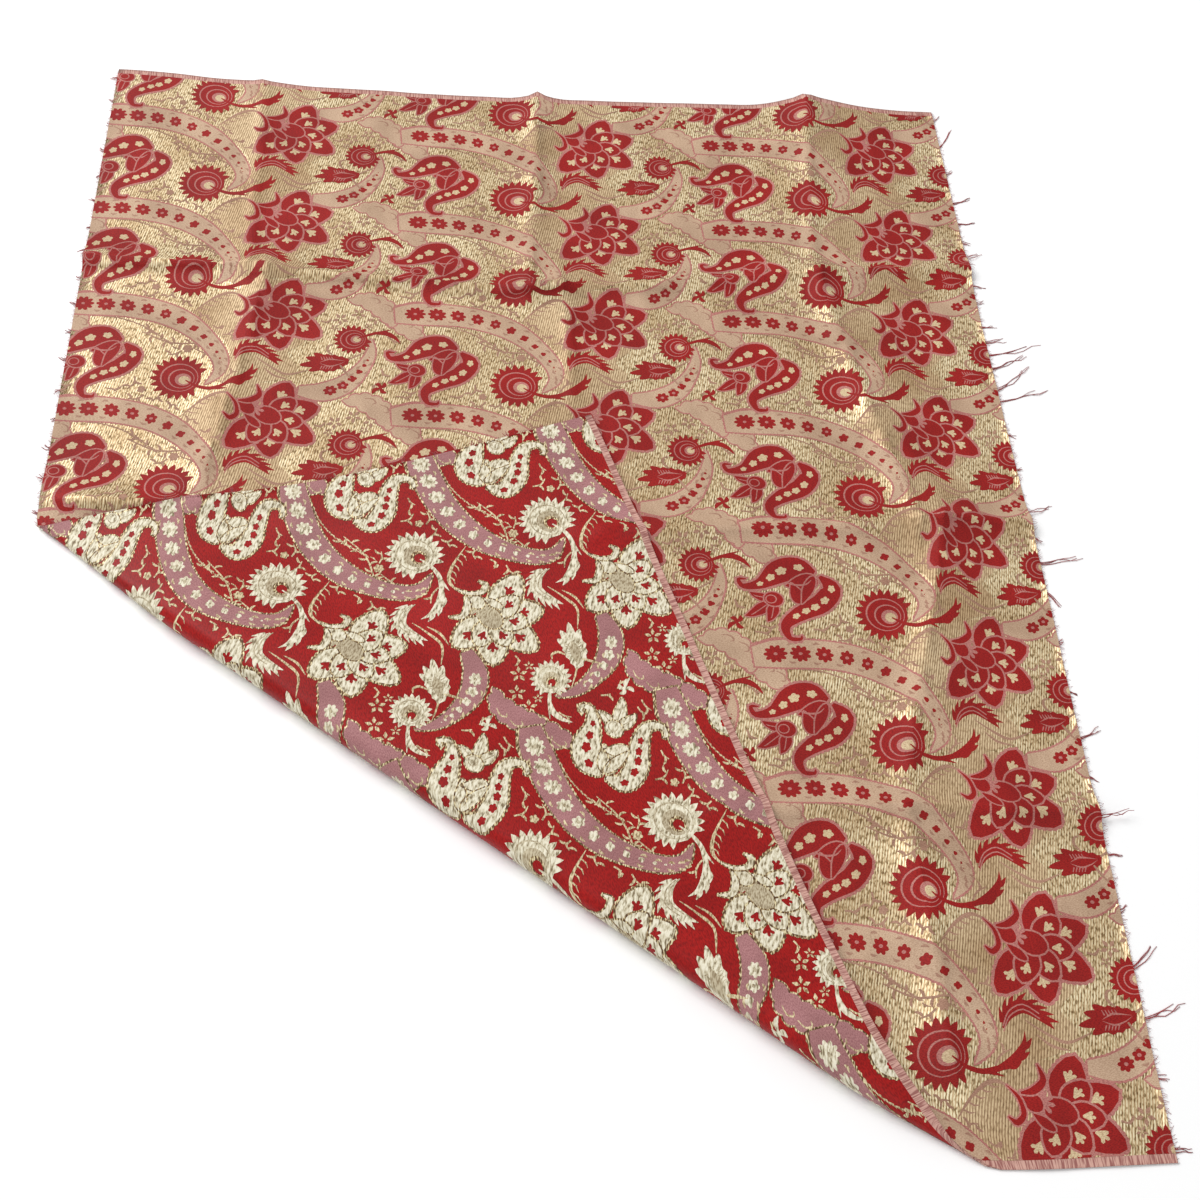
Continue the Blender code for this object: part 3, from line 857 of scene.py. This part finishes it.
def build_inlay(inlay, design, places, faces, facets, shapes):
    """All of one dye on one side, lying on the facets of the cloth's surface."""
    corners, pieces, shape = design
    inked = np.array([part.ink in inlay.inks for part in shapes] + [False])[shape]
    used, index = np.unique(pieces[inked], return_inverse=True)
    pieces = index.reshape(-1, 3)
    flat = corners[used]
    home = np.array([facets.find_nearest((s, w, 0.0))[2] for s, w in flat.tolist()])
    ends = faces[home]
    a, b, c = places[ends[:, 0]], places[ends[:, 1]], places[ends[:, 2]]
    whole = cross(b - a, c - a)
    to_a, to_b, to_c = a - flat, b - flat, c - flat
    share = np.stack([cross(to_b, to_c), cross(to_c, to_a), cross(to_a, to_b)], axis=1)
    share = (share / whole[:, None])[..., None]
    way = SIDES[inlay.side]
    out = outward(places[:, 0], places[:, 1])
    surface = laid(places[:, 0], places[:, 1]) + way * out * HALF_THICKNESS
    normals = (out[ends] * share).sum(axis=1) * way
    normals /= np.linalg.norm(normals, axis=1)[:, None]
    verts = (surface[ends] * share).sum(axis=1) + normals * INLAY
    if way > 0.0:
        pieces = pieces[:, ::-1]
    made = mesh_piece(inlay.name, verts, pieces, flat, [inlay.material], normals)
    return made


def cross(a, b):
    return a[:, 0] * b[:, 1] - a[:, 1] * b[:, 0]


# Loose warp along the two cut edges. The right edge's long tufts are the frame's, in centimetres: where
# one leaves the edge, how far it reaches and how far it leans towards the near selvedge.
Tuft = namedtuple("Tuft", "w reach lean")
RIGHT_TUFTS = [
    Tuft(*row)
    for row in (
        (1.0, 0.9, -0.6), (3.9, 1.4, -2.0), (6.6, 0.7, -0.3), (9.6, 1.7, -0.7),
        (11.6, 1.9, -0.2), (13.4, 0.8, 0.1), (15.1, 1.5, -0.5), (17.6, 1.2, 0.1),
        (19.3, 0.8, -0.2), (21.4, 1.2, -0.1), (22.7, 1.7, -0.3), (23.9, 4.6, -0.9),
        (25.1, 3.6, -1.3), (26.9, 3.3, -2.0), (27.9, 3.9, -1.1), (30.6, 0.7, 0.2),
        (33.4, 0.6, -0.1), (36.8, 1.9, -0.5), (38.7, 0.8, 0.3), (40.6, 3.2, -0.5),
        (42.6, 1.0, 1.0), (46.3, 0.6, -0.2), (49.4, 0.7, 0.1), (52.6, 1.6, -0.7),
        (54.9, 0.7, 0.2), (57.5, 2.3, -0.3), (59.6, 1.0, 0.1), (62.8, 0.6, -0.2),
        (65.9, 1.9, -1.2), (68.6, 2.9, -0.8), (71.4, 0.7, 0.1), (75.0, 1.5, 0.1),
    )
]
LEFT_TUFTS = 32
LEFT_FIRST = 0.9  # centimetres, as are the next three
LEFT_EVERY = 2.3
LEFT_REACH = (0.35, 0.7)
LEFT_LEAN = (-0.3, 0.2)
STRANDS = 3  # loose ends in a long tuft
STRAND_RADIUS = 0.00030
STRAND_WAVE = 0.11  # for each metre of its reach
FRINGE_EVERY = 0.0011
FRINGE_REACH = (0.0006, 0.0042)
FRINGE_RADIUS = 0.00014
FRINGE_WAVE = 0.1
THREAD_STEPS = 7
THREAD_SIDES = 4
THREAD_TAPER = 0.45  # the share of its radius that a thread loses by its tip
TUCKED_IN = 0.0008  # each thread starts this far inside the edge
FALL_OVER = 0.012  # how far past the edge a loose end comes down to what it lies on
DROOP = 0.0012
RIPPLE = 0.0004  # a loose end's small rise and fall
LooseEnd = namedtuple("LooseEnd", "w reach lean radius wave")


def left_tufts():
    """The left edge's long tufts, which are shorter and more even than the right edge's."""
    chance = np.random.default_rng(5)
    tufts = []
    for i in range(LEFT_TUFTS):
        reach = chance.uniform(*LEFT_REACH)
        tufts.append(Tuft(LEFT_FIRST + LEFT_EVERY * i, reach, chance.uniform(*LEFT_LEAN)))
    return tufts


def loose_ends(tufts, reach_scale, seed):
    """Every loose end down one cut edge, in metres: the strands of the tufts, then an even fringe."""
    chance = np.random.default_rng(seed)
    ends = []
    for tuft in tufts:
        for _ in range(STRANDS):
            w = (tuft.w + chance.uniform(-0.12, 0.12)) * CM
            reach = tuft.reach * CM * chance.uniform(0.6, 1.0)
            lean = (tuft.lean + chance.uniform(-0.15, 0.15)) * CM
            wave = chance.uniform(-1.0, 1.0) * STRAND_WAVE * reach
            ends.append(LooseEnd(w, reach, lean, STRAND_RADIUS, wave))
    for w in np.arange(FRINGE_EVERY, WIDTH, FRINGE_EVERY):
        reach = chance.uniform(*FRINGE_REACH) * reach_scale
        lean = chance.normal(-0.15, 0.35) * reach
        w += chance.uniform(-0.3, 0.3) * FRINGE_EVERY
        wave = chance.uniform(-FRINGE_WAVE, FRINGE_WAVE) * reach
        ends.append(LooseEnd(w, reach, lean, FRINGE_RADIUS, wave))
    return ends


def thread_line(edge, way, end):
    """The middle line of a loose end that leaves the cut edge at s = edge: its flat places and its path."""
    share = np.linspace(0.0, 1.0, THREAD_STEPS)
    past = end.reach * share
    s = edge + way * (past - TUCKED_IN)
    w = end.w + end.lean * share * (0.6 + 0.4 * share) + end.wave * np.sin(9.0 * share) * share
    on_edge = np.clip(w, 0.0, WIDTH)
    line = laid(s, on_edge)
    line[:, 1] += on_edge - w
    droop = smooth(0.0, FALL_OVER, past) * DROOP
    floor = np.minimum(line[:, 2], end.radius)
    ripple = RIPPLE * np.sin(7.0 * share + end.w / CM) * share
    line[:, 2] = np.maximum(line[:, 2] - droop, floor) + ripple
    line[:, 2] = np.maximum(line[:, 2], end.radius)
    return np.stack([s, w], axis=1), line


def thread_rings(line, radius):
    """Rings of points round the line, thinner towards its tip."""
    share = np.linspace(0.0, 1.0, THREAD_STEPS)
    angle = around(THREAD_SIDES)
    run = np.gradient(line, axis=0)
    run /= np.linalg.norm(run, axis=1)[:, None]
    side = np.cross(run, (0.0, 0.0, 1.0))
    side /= np.linalg.norm(side, axis=1)[:, None]
    top = np.cross(side, run)
    thin = radius * (1.0 - THREAD_TAPER * share)[:, None, None]
    ring = side[:, None] * np.cos(angle)[None, :, None] + top[:, None] * np.sin(angle)[None, :, None]
    return (line[:, None] + ring * thin).reshape(-1, 3)


def thread_faces(first):
    """The quads round a thread whose points start at this number, and its two closed ends."""
    faces = []
    for i in range(THREAD_STEPS - 1):
        for k in range(THREAD_SIDES):
            a = first + i * THREAD_SIDES + k
            b = first + i * THREAD_SIDES + (k + 1) % THREAD_SIDES
            faces.append((a, b, b + THREAD_SIDES, a + THREAD_SIDES))
    tip = first + (THREAD_STEPS - 1) * THREAD_SIDES
    faces.append(tuple(first + k for k in reversed(range(THREAD_SIDES))))
    faces.append(tuple(tip + k for k in range(THREAD_SIDES)))
    return faces


def build_fray(name, edge, way, ends, material):
    """Thin loose threads that leave a cut edge, in one mesh."""
    verts, faces, flat = [], [], []
    for number, end in enumerate(ends):
        places, line = thread_line(edge, way, end)
        verts.append(thread_rings(line, end.radius))
        flat.append(np.repeat(places, THREAD_SIDES, axis=0))
        faces += thread_faces(number * THREAD_STEPS * THREAD_SIDES)
    made = mesh_piece(name, np.concatenate(verts), faces, np.concatenate(flat), [material])
    return made


def dye(red, green, blue):
    """A colour as a screen shows it, from 0 to 255, for a shader."""
    return tuple((value / 255.0) ** 2.2 for value in (red, green, blue)) + (1.0,)


def fabric(name, roughness, metallic=0.0, sheen=0.0):
    made = bpy.data.materials.new(name)
    made.use_nodes = True
    shader = made.node_tree.nodes["Principled BSDF"]
    shader.inputs["Roughness"].default_value = roughness
    shader.inputs["Metallic"].default_value = metallic
    shader.inputs["Sheen Weight"].default_value = sheen
    shader.inputs["Specular IOR Level"].default_value = 0.25
    return made


def add(made, kind, **values):
    """A node with these settings, where a capitalised name is one of its sockets."""
    node = made.node_tree.nodes.new(kind)
    for key, value in values.items():
        if key[0].isupper():
            node.inputs[key.replace("_", " ")].default_value = value
        else:
            setattr(node, key, value)
    return node


def join(made, start, end):
    made.node_tree.links.new(start, end)


WHITE = dye(255, 255, 255)
RIB_RATE = 210.0  # one rib in each 1.5 mm: a wave texture repeats every 0.314 of a unit
GILT_LEAN = -12.0  # degrees off the warp


def on_flat(made, turn, along_warp, along_weft):
    """Texture places on the flat cloth: turned by so many degrees, then so many units to the metre."""
    uv = add(made, "ShaderNodeUVMap", uv_map="flat")
    place = add(made, "ShaderNodeMapping", vector_type="POINT")
    place.inputs["Rotation"].default_value = (0.0, 0.0, math.radians(turn))
    spread = add(made, "ShaderNodeVectorMath", operation="MULTIPLY")
    spread.inputs[1].default_value = (along_warp, along_weft, 1.0)
    join(made, uv.outputs["UV"], place.inputs["Vector"])
    join(made, place.outputs["Vector"], spread.inputs[0])
    return spread.outputs["Vector"]


def grain(made, turn, along_warp, along_weft, detail=1.0):
    """Soft noise from 0 to 1, drawn out where the two rates differ."""
    noise = add(made, "ShaderNodeTexNoise", noise_dimensions="2D", Scale=1.0, Detail=detail, Roughness=0.55)
    join(made, on_flat(made, turn, along_warp, along_weft), noise.inputs["Vector"])
    return noise.outputs["Fac"]


def ramp(made, value, stops):
    """Colours along a value. Columns: the value and the colour."""
    node = add(made, "ShaderNodeValToRGB")
    elements = node.color_ramp.elements
    while len(elements) < len(stops):
        elements.new(0.5)
    for element, (place, colour) in zip(elements, stops):
        element.position = place
        element.color = colour
    join(made, value, node.inputs["Fac"])
    return node.outputs["Color"]


def multiplied(made, first, second):
    """The product of two colours."""
    node = add(made, "ShaderNodeMix", data_type="RGBA", blend_type="MULTIPLY", Factor=1.0)
    colours = [socket for socket in node.inputs if socket.type == "RGBA"]
    join(made, first, colours[0])
    join(made, second, colours[1])
    return next(socket for socket in node.outputs if socket.type == "RGBA")


def sheen_and_wear_patches(made, colour, turn, along_warp, along_weft, dullest):
    """The colour with soft duller patches: painted uneven sheen on the gilt, wear on the plain dyes."""
    patches = grain(made, turn, along_warp, along_weft, 2.0)
    return multiplied(made, colour, ramp(made, patches, ((0.3, dye(*dullest)), (0.7, WHITE))))


def finish(made, colour, height, strength, distance):
    """Gives the shader its colour and its bump."""
    shader = made.node_tree.nodes["Principled BSDF"]
    join(made, colour, shader.inputs["Base Color"])
    bump = add(made, "ShaderNodeBump", Strength=strength, Distance=distance)
    join(made, height, bump.inputs["Height"])
    join(made, bump.outputs["Normal"], shader.inputs["Normal"])
    return made


def gilt(name, rib_light_and_shade, dash_colours, roughness, metallic, strength):
    """Gilt weft in fine slanted ribs, painted lighter on their crests and darker in their hollows as light
    and shade, broken into dashes by the ties, and duller in patches of painted uneven sheen.
    """
    made = fabric(name, roughness, metallic)
    ribs = add(made, "ShaderNodeTexWave", wave_type="BANDS", bands_direction="X", Scale=1.0, Distortion=0.0)
    join(made, on_flat(made, GILT_LEAN, RIB_RATE, RIB_RATE), ribs.inputs["Vector"])
    # The rib ramp paints shade in the hollows and light on the crests.
    ribbed = ramp(made, ribs.outputs["Fac"], tuple(zip((0.0, 0.5, 1.0), rib_light_and_shade)))
    dashes = grain(made, GILT_LEAN, 1000.0, 340.0)
    broken = ramp(made, dashes, tuple(zip((0.34, 0.46, 0.60), dash_colours)))
    lit = multiplied(made, ribbed, broken)
    # The gilt's duller patches are painted uneven sheen.
    return finish(made, sheen_and_wear_patches(made, lit, 30.0, 26.0, 19.0, (222, 212, 202)), dashes, strength, 0.0003)


def gold_ground():
    """The bright gilt of the reverse's ground."""
    # Rib colours from hollow to crest: painted shade, the gilt, painted light.
    ribs = (dye(196, 168, 130), dye(236, 214, 172), dye(255, 246, 210))
    dashes = (dye(154, 138, 118), dye(230, 222, 210), WHITE)
    return gilt("gilt_weft", ribs, dashes, 0.42, 0.30, 0.4)


def ribbed_gold():
    """Duller gilt, with its ribs hardly broken."""
    # Rib colours from hollow to crest: painted shade, the gilt, painted light.
    ribs = (dye(160, 130, 100), dye(208, 180, 142), dye(230, 208, 168))
    dashes = (dye(206, 198, 190), dye(244, 242, 238), WHITE)
    return gilt("ribbed_gilt_weft", ribs, dashes, 0.5, 0.2, 0.2)


def raised_cream():
    """Thick cream weft, packed in slanted ridges, with painted grey shade in the hollows between them."""
    made = fabric("raised_cream", 0.55)
    ridges = grain(made, 32.0, 240.0, 700.0, 2.0)
    # Grey-brown in the hollows is painted shade; the cream lies on the ridges.
    stops = ((0.30, dye(122, 106, 80)), (0.44, dye(198, 187, 158)), (0.62, dye(234, 227, 204)))
    return finish(made, ramp(made, ridges, stops), ridges, 0.6, 0.0006)


def gilt_edge():
    """The gilt outline, crossed by dark ticks."""
    made = fabric("gilt_edge", 0.4, 0.2)
    ticks = grain(made, 28.0, 420.0, 1150.0, 0.0)
    stops = ((0.38, dye(92, 68, 48)), (0.54, dye(156, 130, 92)), (0.70, dye(230, 216, 172)))
    return finish(made, ramp(made, ticks, stops), ticks, 0.6, 0.0005)


def selvedge():
    """Dusty rose, with cross ribs, painted darker between them as shade and lighter on them as light."""
    made = fabric("rose_selvedge", 0.7)
    ribs = grain(made, 0.0, 1400.0, 120.0)
    # Painted shade between the cross ribs, painted light on them.
    colour = ramp(made, ribs, ((0.35, dye(150, 98, 92)), (0.62, dye(204, 160, 146))))
    return finish(made, colour, ribs, 0.4, 0.0003)


# The threads of one dye. Columns: their colour on the ribs, a painted light, and between them, a painted
# shade in the hollows, their roughness, how many units of noise they have to the metre along the warp and
# the weft, their turn in degrees and their sheen.
Thread = namedtuple("Thread", "light dark roughness along_warp along_weft turn sheen")
THREADS = {
    "red_satin": Thread((168, 27, 24), (134, 19, 18), 0.5, 500.0, 1500.0, 0.0, 0.0),
    "crimson_weft": Thread((163, 35, 31), (128, 23, 23), 0.65, 900.0, 2400.0, 6.0, 0.0),
    "mauve_weft": Thread((196, 132, 122), (158, 96, 92), 0.65, 900.0, 2400.0, 12.0, 0.0),
    "cream_weft": Thread((224, 202, 162), (184, 156, 120), 0.5, 900.0, 2400.0, 12.0, 0.0),
    "beige_weft": Thread((206, 176, 148), (178, 146, 120), 0.6, 900.0, 2400.0, 12.0, 0.0),
    "brown_weft": Thread((180, 140, 118), (152, 112, 94), 0.65, 900.0, 2400.0, 12.0, 0.0),
    "pink_weft": Thread((182, 130, 130), (152, 102, 104), 0.6, 900.0, 2400.0, 0.0, 0.0),
    "shadowed_weft": Thread((206, 194, 164), (150, 132, 102), 0.6, 400.0, 1100.0, 32.0, 0.0),
    "pale_gilt_weft": Thread((234, 218, 176), (146, 118, 82), 0.5, 420.0, 1150.0, 28.0, 0.0),
    "loose_warp": Thread((176, 74, 76), (120, 34, 40), 0.8, 3000.0, 3000.0, 0.0, 0.3),
}


def dyed(name):
    """One dye, with fine ribs painted lighter where they catch the light and darker in their hollows as
    painted shade, and duller in worn patches.
    """
    thread = THREADS[name]
    made = fabric(name, thread.roughness, 0.0, thread.sheen)
    ribs = grain(made, thread.turn, thread.along_warp, thread.along_weft)
    # Painted shade between the ribs (dark) and painted light on them (light).
    colour = ramp(made, ribs, ((0.32, dye(*thread.dark)), (0.62, dye(*thread.light))))
    return finish(made, sheen_and_wear_patches(made, colour, 20.0, 34.0, 27.0, (226, 222, 220)), ribs, 0.25, 0.0003)


def inlays():
    return (
        Inlay("reverse_ribbed_ground", "reverse", {"ribbed"}, ribbed_gold()),
        Inlay("reverse_crimson_figures", "reverse", {"figure", "shade", "bloom"}, dyed("crimson_weft")),
        Inlay("reverse_mauve_outlines", "reverse", {"line", "ring", "fan"}, dyed("mauve_weft")),
        Inlay("reverse_cream_dots", "reverse", {"dot"}, dyed("cream_weft")),
        Inlay("reverse_beige_bands", "reverse", {"band"}, dyed("beige_weft")),
        Inlay("reverse_brown_vines", "reverse", {"vine", "fleck"}, dyed("brown_weft")),
        Inlay("face_cream_figures", "face", {"figure", "bloom"}, raised_cream()),
        Inlay("face_gilt_outlines", "face", {"line"}, gilt_edge()),
        Inlay("face_shadowed_petals", "face", {"ring", "shade", "fan"}, dyed("shadowed_weft")),
        Inlay("face_pink_bands", "face", {"band"}, dyed("pink_weft")),
        Inlay("face_gilt_vines", "face", {"vine", "fleck"}, dyed("pale_gilt_weft")),
    )


def build_object():
    places, faces = flat_facets()
    cloth = build_cloth(places, faces, [gold_ground(), dyed("red_satin"), selvedge()])
    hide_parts("brocade_cloth")
    shapes = repeat()
    design = woven_design(places, faces, shapes)
    flat = [(s, w, 0.0) for s, w in places.tolist()]
    facets = BVHTree.FromPolygons(flat, faces.tolist(), all_triangles=True)
    made = [build_inlay(inlay, design, places, faces, facets, shapes) for inlay in inlays()]
    loose = dyed("loose_warp")
    right = build_fray("fray_right", LENGTH, 1.0, loose_ends(RIGHT_TUFTS, 1.0, 3), loose)
    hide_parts("frayed_warp_right")
    left = build_fray("fray_left", 0.0, -1.0, loose_ends(left_tufts(), 0.7, 8), loose)
    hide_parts("frayed_warp_left")


CAMERA_AT = Vector((-0.0811, -0.4961, 0.7297))
CAMERA_SEES = Vector((0.0071, -0.0595, 0.0))  # the point in the middle of its view
CAMERA_ROLL = 10.2  # degrees
LENS = 43.5  # millimetres, as is the sensor's width
SENSOR = 36.0


def build_camera():
    lens = bpy.data.cameras.new("camera")
    lens.lens = LENS
    lens.sensor_width = SENSOR
    camera = bpy.data.objects.new("camera", lens)
    bpy.context.collection.objects.link(camera)
    looks = (CAMERA_SEES - CAMERA_AT).to_track_quat("-Z", "Y").to_matrix()
    rolled = looks @ Matrix.Rotation(math.radians(CAMERA_ROLL), 3, "Z")
    camera.matrix_world = Matrix.Translation(CAMERA_AT) @ rolled.to_4x4()
    bpy.context.scene.camera = camera


# Lights: where each one is, the side of its square and its power in watts. All point at the cloth.
Lamp = namedtuple("Lamp", "name x y z size power")
LAMPS = (
    Lamp("window", -2.2, 1.7, 2.8, 2.4, 135.0),
    Lamp("fill", 1.2, -2.6, 3.4, 3.0, 30.0),
)
SKY = 0.46


def build_light():
    for lamp in LAMPS:
        light = bpy.data.lights.new(lamp.name, "AREA")
        light.size = lamp.size
        light.energy = lamp.power
        made = bpy.data.objects.new(lamp.name, light)
        made.location = (lamp.x, lamp.y, lamp.z)
        made.rotation_euler = (-made.location).to_track_quat("-Z", "Y").to_euler()
        bpy.context.collection.objects.link(made)
    world = bpy.data.worlds.new("sky")
    world.use_nodes = True
    sky = world.node_tree.nodes["Background"]
    sky.inputs["Color"].default_value = (1.0, 1.0, 1.0, 1.0)
    sky.inputs["Strength"].default_value = SKY
    bpy.context.scene.world = world
    bpy.context.scene.view_settings.view_transform = "Standard"


def build_floor():
    data = bpy.data.meshes.new("floor")
    reach = 6.0
    corners = [(-reach, -reach, 0.0), (reach, -reach, 0.0), (reach, reach, 0.0), (-reach, reach, 0.0)]
    data.from_pydata(corners, [], [(0, 1, 2, 3)])
    floor = bpy.data.objects.new("floor", data)
    paper = bpy.data.materials.new("pale_paper")
    paper.use_nodes = True
    shader = paper.node_tree.nodes["Principled BSDF"]
    shader.inputs["Base Color"].default_value = (0.97, 0.97, 0.97, 1.0)
    shader.inputs["Roughness"].default_value = 0.9
    data.materials.append(paper)
    bpy.context.collection.objects.link(floor)


build_object()
build_camera()
build_light()
build_floor()
